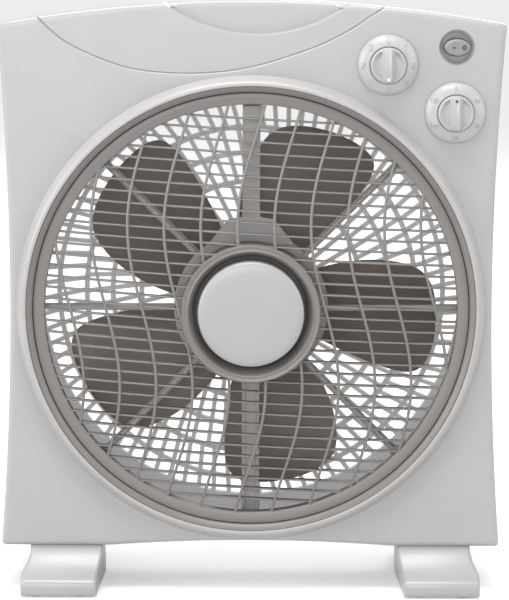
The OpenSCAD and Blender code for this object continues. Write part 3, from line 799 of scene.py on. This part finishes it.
def make_turning_grille():
    shape = Shape()
    rim = RING_OUT + 0.45
    shape.turned((0, HUB_Z), [
        (rim, RING_Y + 1.1), (rim - 0.25, RING_Y + 0.45), (rim - 0.9, RING_Y + 0.1),
        (RING_IN + 5.4, RING_Y), (RING_IN + 1.0, RING_Y + 0.25), (RING_IN + 0.3, RING_Y + 0.6),
        (RING_IN, RING_Y + 1.2), (RING_IN, RING_Y + 9), (RING_IN + 2.2, RING_Y + 9),
        (RING_IN + 2.2, RING_Y + 3), (rim - 2.2, RING_Y + 3), (rim - 2.2, RING_Y + 9),
        (rim, RING_Y + 9)], 240)
    f = HUB_FRONT
    shape.turned((0, HUB_Z), [
        (HUB_R, RING_Y + 5), (HUB_R, f + 2.6), (HUB_R - 0.35, f + 0.9), (HUB_R - 1.0, f + 0.2),
        (HUB_R - 1.5, f + 0.3), (HUB_R - 2.0, f + 0.6), (HUB_R - 3.7, f + 0.7), (HUB_R - 4.1, f + 0.3),
        (HUB_R - 4.6, f + 0.2), (HUB_R - 5.1, f + 0.7), (HUB_R - 10.2, f + 14.5), (HUB_R - 11.6, f + 15),
        (HUB_R - 11.8, f + 8), (8, f + 8), (8, f + 10), (HUB_R - 13.4, f + 10), (HUB_R - 13.4, f + 16.6),
        (HUB_R - 9.4, f + 16.6), (HUB_R - 2.9, f + 3), (HUB_R - 2, f + 3), (HUB_R - 2, RING_Y + 5)], 160)
    vanes = int((RING_IN - 3) / VANE_PITCH)
    for i in range(-vanes, vanes + 1):
        add_vane(shape, i * VANE_PITCH)
    for k in range(-5, 6):
        add_rib(shape, RIB_SHIFT + k * RIB_PITCH)
    shape.piece("turning_grille", "grille", "trim", ["rotary_grille"], sharp=40)


def make_hub_cap():
    shape = Shape()
    r, f = HUB_R - 12.2, HUB_FRONT
    shape.turned((0, HUB_Z), [
        (r, f + 7.9), (r, f + 1.4), (r - 0.25, f + 0.6), (r - 0.9, f - 0.1), (r - 2.2, f - 0.8),
        (r - 4.5, f - 1.3), (r - 9, f - 1.65), (r - 18, f - 1.95), (r - 30, f - 2.08), (0, f - 2.1),
        (0, f + 0.1), (r - 6, f + 0.6), (r - 2, f + 2.2), (r - 2, f + 7.9)], 160)
    shape.piece("hub_badge", "grille", "cap", ["hub_cap"], sharp=50)


# ---- Fixed spider ----

def polar(angle, r, across, y):
    """A point at a radius along a direction from the axis, set across from it."""
    c, s = math.cos(angle), math.sin(angle)
    return (r * c - across * s, y, HUB_Z + r * s + across * c)


def add_spoke(shape, degrees, section, r0, r1, spans=1):
    a = math.radians(degrees)
    shape.loft([[polar(a, r, u, y) for u, y in section] for r in steps_between(r0, r1, spans)])


def make_spider():
    shape = Shape()
    y = SPIDER_Y
    shape.turned((0, HUB_Z), [(157.5, y), (171, y), (171, y + 4), (157.5, y + 4)], 200)
    shape.turned((0, HUB_Z), [
        (0, y), (56.2, y), (57, y + 0.8), (57, y + 3), (54.5, y + 3), (54, y + 1.8), (0, y + 1.8)])
    upright = [
        (-6.5, y + 5), (-6.5, y + 0.6), (-6.0, y), (-4.2, y), (-3.8, y + 1.2), (3.8, y + 1.2), (4.2, y),
        (6.0, y), (6.5, y + 0.6), (6.5, y + 5)]
    level = [(-2.4, y + 5), (-2.4, y + 0.6), (-1.9, y), (1.9, y), (2.4, y + 0.6), (2.4, y + 5)]
    ridged = [
        (-2.5, y + 5), (-2.5, y + 1.6), (-1.6, y + 1.4), (-1.3, y - 0.4), (-0.8, y - 0.9), (0.8, y - 0.9),
        (1.3, y - 0.4), (1.6, y + 1.4), (2.5, y + 1.6), (2.5, y + 5)]
    for a in (90, 270):
        add_spoke(shape, a, upright, 53, 160)
    for a in (0, 180):
        add_spoke(shape, a, level, 53, 160)
    for k in range(4):
        add_spoke(shape, 45 + 90 * k, ridged, 53, 160)
        add_spoke(shape, 45 + 90 * k, [(-4, y + 5), (-4, y - 0.4), (4, y - 0.4), (4, y + 5)], 150, 159)
    shape.piece("grille_spider", "root", "trim", ["front_spider"], bevel=0.35, finish="spider")


def make_cable_cover():
    y = SPIDER_Y
    cover = Shape()
    tab = [
        (-32, 47), (32, 47), (17, 66), (6.8, 68), (6.5, 74), (6.5, 150), (-6.5, 150), (-6.5, 74),
        (-6.8, 68), (-17, 66)]
    cover.loft([[(x, y - 2, HUB_Z + z) for x, z in tab], [(x, y, HUB_Z + z) for x, z in tab]])
    cover.piece("cable_cover", "root", "trim", ["spoke_cable_cover"], bevel=0.5, finish="spider")


# ---- Fan blades ----

def petal_half(t):
    """Half the width of a blade, from its root at 0 to its tip at 1."""
    return (21 + 26 * math.sin(math.pi / 2 * min(1, t * 1.35))) * math.sqrt(
        max(0.0, 1 - max(0.0, (t - 0.55) / 0.45) ** 6))


def petal_lean(t):
    """How far the blade's middle line stands off a straight radius."""
    return 4 - 16 * t * t


def add_blade(shape, turn):
    """One cupped blade: pitched hard at its root, flatter at its tip, and hollow on its working side."""
    root = 26.0
    across, along = 16, 30
    skins = []
    for side in (-1, 1):
        rows = []
        for i in range(along + 1):
            t = min(0.9998, math.sin(math.pi / 2 * i / along))
            r = root + (BLADE_R - root) * t
            half, lean = petal_half(t), petal_lean(t)
            pitch = math.radians(29 - 9 * t)
            row = []
            for j in range(across + 1):
                s = -1 + 2 * j / across
                u = lean + half * s
                edge = (1 - s * s) ** 0.5 if abs(s) < 1 else 0.0
                cup = 3.2 * (1 - s * s) * (0.4 + 0.6 * t)
                thick = 0.35 + 0.75 * edge * (1 - 0.3 * t)
                v = -cup + side * thick
                row.append((r, u * math.cos(pitch) - v * math.sin(pitch),
                            u * math.sin(pitch) + v * math.cos(pitch)))
            rows.append(row)
        skins.append(rows)
    c, s = math.cos(turn), math.sin(turn)

    def placed(p):
        r, u, v = p
        x, z = r * c - u * s, r * s + u * c
        return (x, BLADE_Y - v, HUB_Z + z)

    grids = [[shape.ring([placed(p) for p in row]) for row in rows] for rows in skins]
    for grid in grids:
        for a, b in zip(grid, grid[1:]):
            shape.bridge(a, b, closed=False)
    front, back = grids
    for i in range(along):
        shape.faces.append((front[i][0], front[i + 1][0], back[i + 1][0], back[i][0]))
        shape.faces.append((front[i][-1], front[i + 1][-1], back[i + 1][-1], back[i][-1]))
    for j in range(across):
        shape.faces.append((front[0][j], front[0][j + 1], back[0][j + 1], back[0][j]))
        shape.faces.append((front[-1][j], front[-1][j + 1], back[-1][j + 1], back[-1][j]))


def make_fan():
    shape = Shape()
    shape.turned((0, HUB_Z), [
        (4.2, -22), (24, -22), (27.5, -21.2), (29.4, -19.2), (30, -16.5), (30, 12), (27.5, 12),
        (27.5, -18.5), (9, -18.5), (9, 11), (4.2, 11)], 120)
    for k in range(5):
        add_blade(shape, math.radians(68 + 72 * k))
    for k in range(6):
        a = math.radians(60 * k + 10)
        section = ((-1, -18.4), (1, -18.4), (1, 4), (-1, 4))
        shape.loft([[polar(a, r, u, y) for u, y in section] for r in (8.5, 28)])
    shape.piece("impeller", "fan", "blade", ["fan_blade"], sharp=45)


# ---- Rear guard ----

GUARD_PLATE = 46.0
GUARD_RINGS = (84.0, 106.0, 126.0, 147.0)
BAR = 3.6


def bar_section(half, depth, y):
    """A rounded bar as (across, y): narrow at its front and back edges."""
    return [
        (-half * 0.55, y), (half * 0.55, y), (half, y + depth * 0.28), (half, y + depth * 0.72),
        (half * 0.55, y + depth), (-half * 0.55, y + depth), (-half, y + depth * 0.72),
        (-half, y + depth * 0.28)]


def add_guard_bars(shape, r0, r1, count, swirl):
    length = r1 - r0 + 3
    turn = math.radians(swirl)
    for i in range(count):
        base = 2 * math.pi * i / count
        rings = []
        for d in (-1.5, length - 1.5):
            ring = []
            for u, y in bar_section(BAR / 2, 4.0, GUARD_BACK - 4):
                x = r0 + d * math.cos(turn) - u * math.sin(turn)
                w = d * math.sin(turn) + u * math.cos(turn)
                ring.append((x * math.cos(base) - w * math.sin(base), y,
                             HUB_Z + x * math.sin(base) + w * math.cos(base)))
            rings.append(ring)
        shape.loft(rings)


def make_guard():
    shape = Shape()
    b = GUARD_BACK
    shape.turned((0, HUB_Z), [
        (0, b - 4), (GUARD_PLATE - 1, b - 4), (GUARD_PLATE, b - 3.2), (GUARD_PLATE, b - 0.8),
        (GUARD_PLATE - 1, b), (36, b), (35.4, b - 0.6), (34.6, b - 0.6), (34, b), (0, b)], 120)
    for r in GUARD_RINGS:
        shape.turned((0, HUB_Z), [(r + u, y) for u, y in bar_section(2.0, 4.0, b - 4)], 180)
    add_guard_bars(shape, GUARD_PLATE, 84, 42, 14)
    add_guard_bars(shape, 84, 126, 63, 10)
    add_guard_bars(shape, 126, 160, 84, 12)
    shape.turned((0, HUB_Z), [
        (GUARD_OUT, b - 8), (GUARD_OUT, b - 0.8), (GUARD_OUT - 0.8, b), (GUARD_OUT - 8.4, b),
        (GUARD_OUT - 9.2, b - 0.8), (GUARD_OUT - 9.2, b - 8)], 220)
    shape.piece("back_guard", "root", "shell", ["rear_grille"], sharp=50, finish="guard")


# ---- Dials, knobs and rocker ----

COLLAR = [
    (DIAL_R, FRONT_Y + 1.0), (DIAL_R, FRONT_Y - 0.7), (DIAL_R - 0.2, FRONT_Y - 1.4),
    (DIAL_R - 1.0, FRONT_Y - 2.6), (DIAL_R - 2.4, FRONT_Y - 3.9), (DIAL_R - 4.2, FRONT_Y - 5.1),
    (DIAL_R - 6.2, FRONT_Y - 6.1), (DIAL_R - 7.8, FRONT_Y - 6.6), (DIAL_R - 8.6, FRONT_Y - 6.6),
    (KNOB_R + 0.25, FRONT_Y - 6.2), (KNOB_R + 0.25, FRONT_Y + 1.0)]


def collar_y(r):
    """Depth of the collar's sloping face, where the figures stand."""
    keys = sorted(COLLAR[2:8])
    return follow(r, keys)


DIGITS = {
    "0": [(0.30 * math.cos(math.radians(d)), 0.5 * math.sin(math.radians(d))) for d in range(0, 361, 30)],
    "1": [(-0.16, 0.30), (0.02, 0.5), (0.02, -0.5)],
    "2": [(-0.27, 0.27), (-0.2, 0.44), (0.0, 0.5), (0.2, 0.43), (0.27, 0.25), (0.2, 0.05), (-0.02, -0.18),
          (-0.28, -0.5), (0.3, -0.5)],
    "3": [(-0.26, 0.38), (-0.1, 0.5), (0.12, 0.49), (0.25, 0.34), (0.2, 0.12), (0.0, 0.03), (0.2, -0.06),
          (0.28, -0.26), (0.15, -0.46), (-0.08, -0.5), (-0.27, -0.38)],
    "5": [(0.24, 0.5), (-0.18, 0.5), (-0.22, 0.08), (0.0, 0.14), (0.2, 0.06), (0.28, -0.17), (0.18, -0.42),
          (-0.03, -0.5), (-0.26, -0.4)],
    "6": [(0.2, 0.42), (0.0, 0.5), (-0.2, 0.33), (-0.28, -0.05), (-0.24, -0.33), (0.0, -0.5), (0.24, -0.33),
          (0.26, -0.12), (0.05, 0.06), (-0.25, -0.1)],
    "9": [(-0.2, -0.42), (0.0, -0.5), (0.2, -0.33), (0.28, 0.05), (0.24, 0.33), (0.0, 0.5), (-0.24, 0.33),
          (-0.26, 0.12), (-0.05, -0.06), (0.25, 0.1)],
}


def add_stroke(shape, path, half):
    """A raised, softly rounded line along points that lie on a surface facing the front."""
    pts = [Vector(p) for p in path]
    rings = []
    for i, p in enumerate(pts):
        run = (pts[min(i + 1, len(pts) - 1)] - pts[max(i - 1, 0)]).normalized()
        side = run.cross(Vector((0, 1, 0))).normalized()
        rings.append([tuple(p + side * (half * u) + Vector((0, v, 0))) for u, v in
                      ((-1.0, 0.3), (-0.8, -0.2), (-0.35, -0.4), (0.35, -0.4), (0.8, -0.2), (1.0, 0.3))])
    shape.loft(rings)


def add_number(shape, at, number, degrees, height, r_mid=18.3, half=0.4):
    """Raised figures that stand upright on a dial's collar, at an angle clockwise from its top."""
    a = math.radians(degrees)
    for i, digit in enumerate(number):
        shift = (i - (len(number) - 1) / 2) * height * 0.78
        path = []
        for u, v in DIGITS[digit]:
            x = r_mid * math.sin(a) + height * u + shift
            z = r_mid * math.cos(a) + height * v
            path.append((at[0] + x, collar_y(math.hypot(x, z)) - 0.1, at[1] + z))
        add_stroke(shape, path, half)


def make_dial(name, at, numbers, height, half):
    collar = Shape()
    collar.turned(at, COLLAR, 120)
    collar.piece(name + "_collar", "root", "cap", [name + "_dial_ring"], sharp=50, finish="dial")
    marks = Shape()
    for number, degrees in numbers:
        add_number(marks, at, number, degrees, height, half=half)
    marks.piece(name + "_numbers", "root", "cap", sharp=60, finish="dial")


def make_knob(name, at, dot_at_top):
    shape = Shape()
    base = FRONT_Y - 3
    steps = 96
    skirt = [(KNOB_R - 0.2, base), (KNOB_R, base - 0.6), (KNOB_R, base - 6.0), (KNOB_R - 0.35, base - 6.9),
             (KNOB_R - 1.1, base - 7.5), (KNOB_R - 2.0, base - 7.3)]
    rings = [[(x, y, z) for x, z in circle(at, r, steps)] for r, y in skirt]
    for level in range(1, 9):
        r = (KNOB_R - 2.0) * (1 - level / 9)
        ring = []
        for k in range(steps):
            a = 2 * math.pi * k / steps
            x = r * math.cos(a)
            hollow = 1.2 * math.sin(math.pi * min(1, abs(x) / (KNOB_R - 2.0))) * (r / (KNOB_R - 2.0)) ** 0.5
            ring.append((at[0] + x, base - 7.3 + hollow, at[1] + r * math.sin(a)))
        rings.append(ring)
    made = [shape.ring(r) for r in rings]
    for a, b in zip(made, made[1:]):
        shape.bridge(a, b)
    shape.cap(made[-1])
    shape.cap(list(reversed(made[0])))
    bar = [
        (-KNOB_R + 0.9, base - 6.5), (-KNOB_R + 0.8, base - 9.5), (-KNOB_R + 1.6, base - 12.4),
        (-KNOB_R + 3.6, base - 13.6), (0, base - 14), (KNOB_R - 3.6, base - 13.6),
        (KNOB_R - 1.6, base - 12.4), (KNOB_R - 0.8, base - 9.5), (KNOB_R - 0.9, base - 6.5)]
    rings = []
    for half, low in ((4.6, 5.4), (3.2, 4.0), (2.6, 1.0), (2.2, 0.2), (1.8, 0.0), (0.0, 0.5)):
        rings.append((half, [(z * (1 - 0.01 * low), y + (0.0 if y > base - 7 else low)) for z, y in bar]))
    sides = [(-half, line) for half, line in rings] + [(half, line) for half, line in reversed(rings[:-1])]
    shape.loft([[(at[0] + half, y, at[1] + z) for z, y in line] for half, line in sides])
    shape.piece(name + "_grip", name + "_control", "cap", [name + "_knob"], bevel=0.45, sharp=45,
                finish="dial")
    dot = Shape()
    place = (at[0], at[1] + (KNOB_R - 3.4) * (1 if dot_at_top else -1))
    y = base - 13.65
    dot.turned(place, [(0, y - 0.12), (0.8, y - 0.1), (1.05, y + 0.1), (1.05, y + 0.6), (0, y + 0.6)], 32)
    dot.piece(name + "_pointer", name + "_control", "cap", finish="ink" if dot_at_top else "mark", sharp=50)


def oval(at, half_x, half_z, y, count=64):
    angles = [2 * math.pi * k / count for k in range(count)]
    return [(at[0] + half_x * math.cos(a), y, at[1] + half_z * math.sin(a)) for a in angles]


def make_rocker_frame():
    frame_shape = Shape()
    y0 = FRONT_Y
    rim = (
        (10.1, 6.7, y0 + 6), (10.1, 6.7, y0 + 2.6), (10.0, 6.6, y0 + 2.4), (9.8, 6.4, y0 + 2.4),
        (9.7, 6.3, y0 + 2.6), (9.7, 6.3, y0 + 6))
    made = [frame_shape.ring(oval(ROCKER_AT, half_x, half_z, y)) for half_x, half_z, y in rim]
    for a, b in zip(made, made[1:] + made[:1]):
        frame_shape.bridge(a, b)
    frame_shape.loft([oval(ROCKER_AT, 10.4, 7.0, y0 + 5.5), oval(ROCKER_AT, 10.4, 7.0, y0 + 18)])
    frame_shape.piece("rocker_frame", "root", "black", ["rocker_switch_body"], sharp=50)
    seat = Shape()
    seat.turned(ROCKER_AT, [
        (0, y0 + 3.0), (9.0, y0 + 3.0), (11.0, y0 + 2.9), (11.2, y0 + 3.1), (11.2, y0 + 4.0),
        (0, y0 + 4.0)], 72)
    seat.piece("rocker_seat", "root", "rocker", sharp=50)


def make_rocker():
    """The paddle, at rest with its off side pressed in, and the two marks on it."""
    shape = Shape()
    turn = math.radians(7)
    pivot_y = FRONT_Y + 1.5

    def tilted(points):
        placed = []
        for x, y, z in points:
            dx, dy = x - ROCKER_AT[0], y - pivot_y
            placed.append((ROCKER_AT[0] + dx * math.cos(turn) - dy * math.sin(turn),
                           pivot_y + dx * math.sin(turn) + dy * math.cos(turn), z))
        return placed

    rings = []
    crown = (
        (0.0, -1.5), (0.0, 2.6), (0.15, 3.2), (0.5, 3.7), (1.1, 4.0), (2.2, 4.1), (3.6, 4.0),
        (5.0, 3.95))
    for shrink, rise in crown:
        rings.append(tilted(oval(ROCKER_AT, 9.45 - shrink, 6.05 - shrink, pivot_y - rise)))
    shape.loft(rings)
    shape.piece("rocker_paddle", "rocker", "rocker", ["rocker"], sharp=50)
    marks = Shape()
    y = pivot_y - 4.1
    stroke = [(ROCKER_AT[0] - 3.9 + 0.75 * i, y, ROCKER_AT[1]) for i in range(4)]
    ring = [(ROCKER_AT[0] + 4.8 + 1.25 * math.cos(a), y, ROCKER_AT[1] + 1.35 * math.sin(a))
            for a in steps_between(0, 2 * math.pi, 18)]
    add_stroke(marks, tilted(stroke), 0.5)
    add_stroke(marks, tilted(ring), 0.5)
    marks.piece("rocker_marks", "rocker", "rocker", finish="ink", sharp=60)


# ---- Feet ----

def foot_profile():
    """Side outline of a foot: a rounded upright toe that runs up into a hollow instep."""
    front = [(0, 1), (-(TOE - 2.6), 1), (-(TOE - 1.1), 1.5), (-(TOE - 0.3), 2.6), (-TOE, 4.2), (-TOE, 8.6),
             (-(TOE - 0.35), 10.4), (-(TOE - 1.3), 12.0), (-(TOE - 2.9), 13.3)]
    instep = (
        (14.3, 4.9), (15.6, 7.6), (17.4, 10.8), (19.6, 14.0), (22.2, 17.2), (25.2, 20.4), (28.2, 23.2),
        (30.8, 25.2), (FOOT_TOP, 27.0))
    for z, back in instep:
        front.append((-(TOE - back), z))
    return front + [(-y, z) for y, z in reversed(front[1:])]


def foot_side_x(y, outer):
    """How far a foot's side stands from its middle: the toes turn outwards."""
    back = min(1.0, max(0.0, (TOE - 6 - abs(y)) / 20))
    back = back * back * (3 - 2 * back)
    return FOOT_W / 2 - 6 * back if outer else FOOT_W / 2 + 4 * back


def make_foot(name, x):
    shape = Shape()
    side = 1 if x > 0 else -1
    profile = foot_profile()
    rings = []
    for inset, across in ((2.4, 0.0), (1.1, 0.45), (0.3, 1.3), (0.0, 2.4)):
        rings.append([(x + side * (foot_side_x(y, True) - across), inset, y, z) for y, z in profile])
    for inset, across in ((0.0, 2.4), (0.3, 1.3), (1.1, 0.45), (2.4, 0.0)):
        rings.append([(x - side * (foot_side_x(y, False) - across), inset, y, z) for y, z in profile])
    middle = 17.0
    placed = []
    for ring in rings:
        line = []
        for px, inset, y, z in ring:
            reach = math.hypot(y, z - middle)
            line.append((px, y * (1 - inset / reach), middle + (z - middle) * (1 - inset / reach)))
        placed.append(line)
    shape.loft(placed)
    shape.piece(name + "_boot", "root", "shell", [name], sharp=40)


make_front_shell()
make_mouth_lip()
make_rear_shell()
make_handle_recess()
make_screw_wells()
make_bezel()
make_turning_grille()
make_hub_cap()
make_spider()
make_cable_cover()
make_fan()
make_guard()
make_dial("speed", SPEED_AT, [(str(k % 4), (180 + 45 * k) % 360) for k in range(8)], 4.1, 0.42)
make_dial("timer", TIMER_AT, [(str(30 * k), 60 * k) for k in range(6)], 2.6, 0.3)
make_knob("speed", SPEED_AT, False)
make_knob("timer", TIMER_AT, True)
make_rocker_frame()
make_rocker()
make_foot("left_foot", -FOOT_X)
make_foot("right_foot", FOOT_X)


# ---- Studio ----

def make_floor():
    half = 16.0
    low_tone, high_tone = (0.54, 0.54, 0.54), (0.57, 0.57, 0.57)
    mesh = bpy.data.meshes.new("studio_floor")
    corners = [(-half, -half, 0), (half, -half, 0), (half, half, 0), (-half, half, 0)]
    mesh.from_pydata(corners, [], [(0, 1, 2, 3)])
    floor = bpy.data.objects.new("studio_floor", mesh)
    bpy.context.scene.collection.objects.link(floor)
    paint = Paint("pale_floor", Roughness=0.9, Specular_IOR_Level=0.1)
    cloud = paint.noise(3.0, 3.0)
    paint.feed("Base Color", paint.blend(low_tone, high_tone, cloud))
    paint.shader.inputs["Emission Color"].default_value = (1, 1, 1, 1)
    paint.shader.inputs["Emission Strength"].default_value = 0.36
    floor.data.materials.append(paint.material)


def add_light(name, place, target, size, power):
    data = bpy.data.lights.new(name, "AREA")
    data.shape = "RECTANGLE"
    data.size, data.size_y = size
    data.energy = power
    lamp = bpy.data.objects.new(name, data)
    aim = Vector(target) - Vector(place)
    lamp.matrix_world = Matrix.Translation(place) @ aim.to_track_quat("-Z", "Y").to_matrix().to_4x4()
    bpy.context.scene.collection.objects.link(lamp)


def light_studio():
    world = bpy.data.worlds.new("white_room")
    bpy.context.scene.world = world
    world.use_nodes = True
    background = world.node_tree.nodes["Background"]
    background.inputs["Color"].default_value = (1, 1, 1, 1)
    background.inputs["Strength"].default_value = 0.85
    body_middle = (0, 0, 0.22)
    add_light("front", (-0.35, -2.3, 0.80), body_middle, (1.3, 0.8), 20)
    add_light("top", (-0.10, -0.45, 1.60), (0, -0.03, 0.30), (1.0, 0.45), 23)
    add_light("left", (-1.5, -0.55, 0.70), body_middle, (0.8, 1.0), 17)
    add_light("right", (1.5, -0.55, 0.70), body_middle, (0.8, 1.0), 8)
    add_light("back", (0.6, 1.9, 1.75), body_middle, (1.2, 0.9), 40)
    bpy.context.scene.view_settings.view_transform = "Standard"


make_floor()
light_studio()
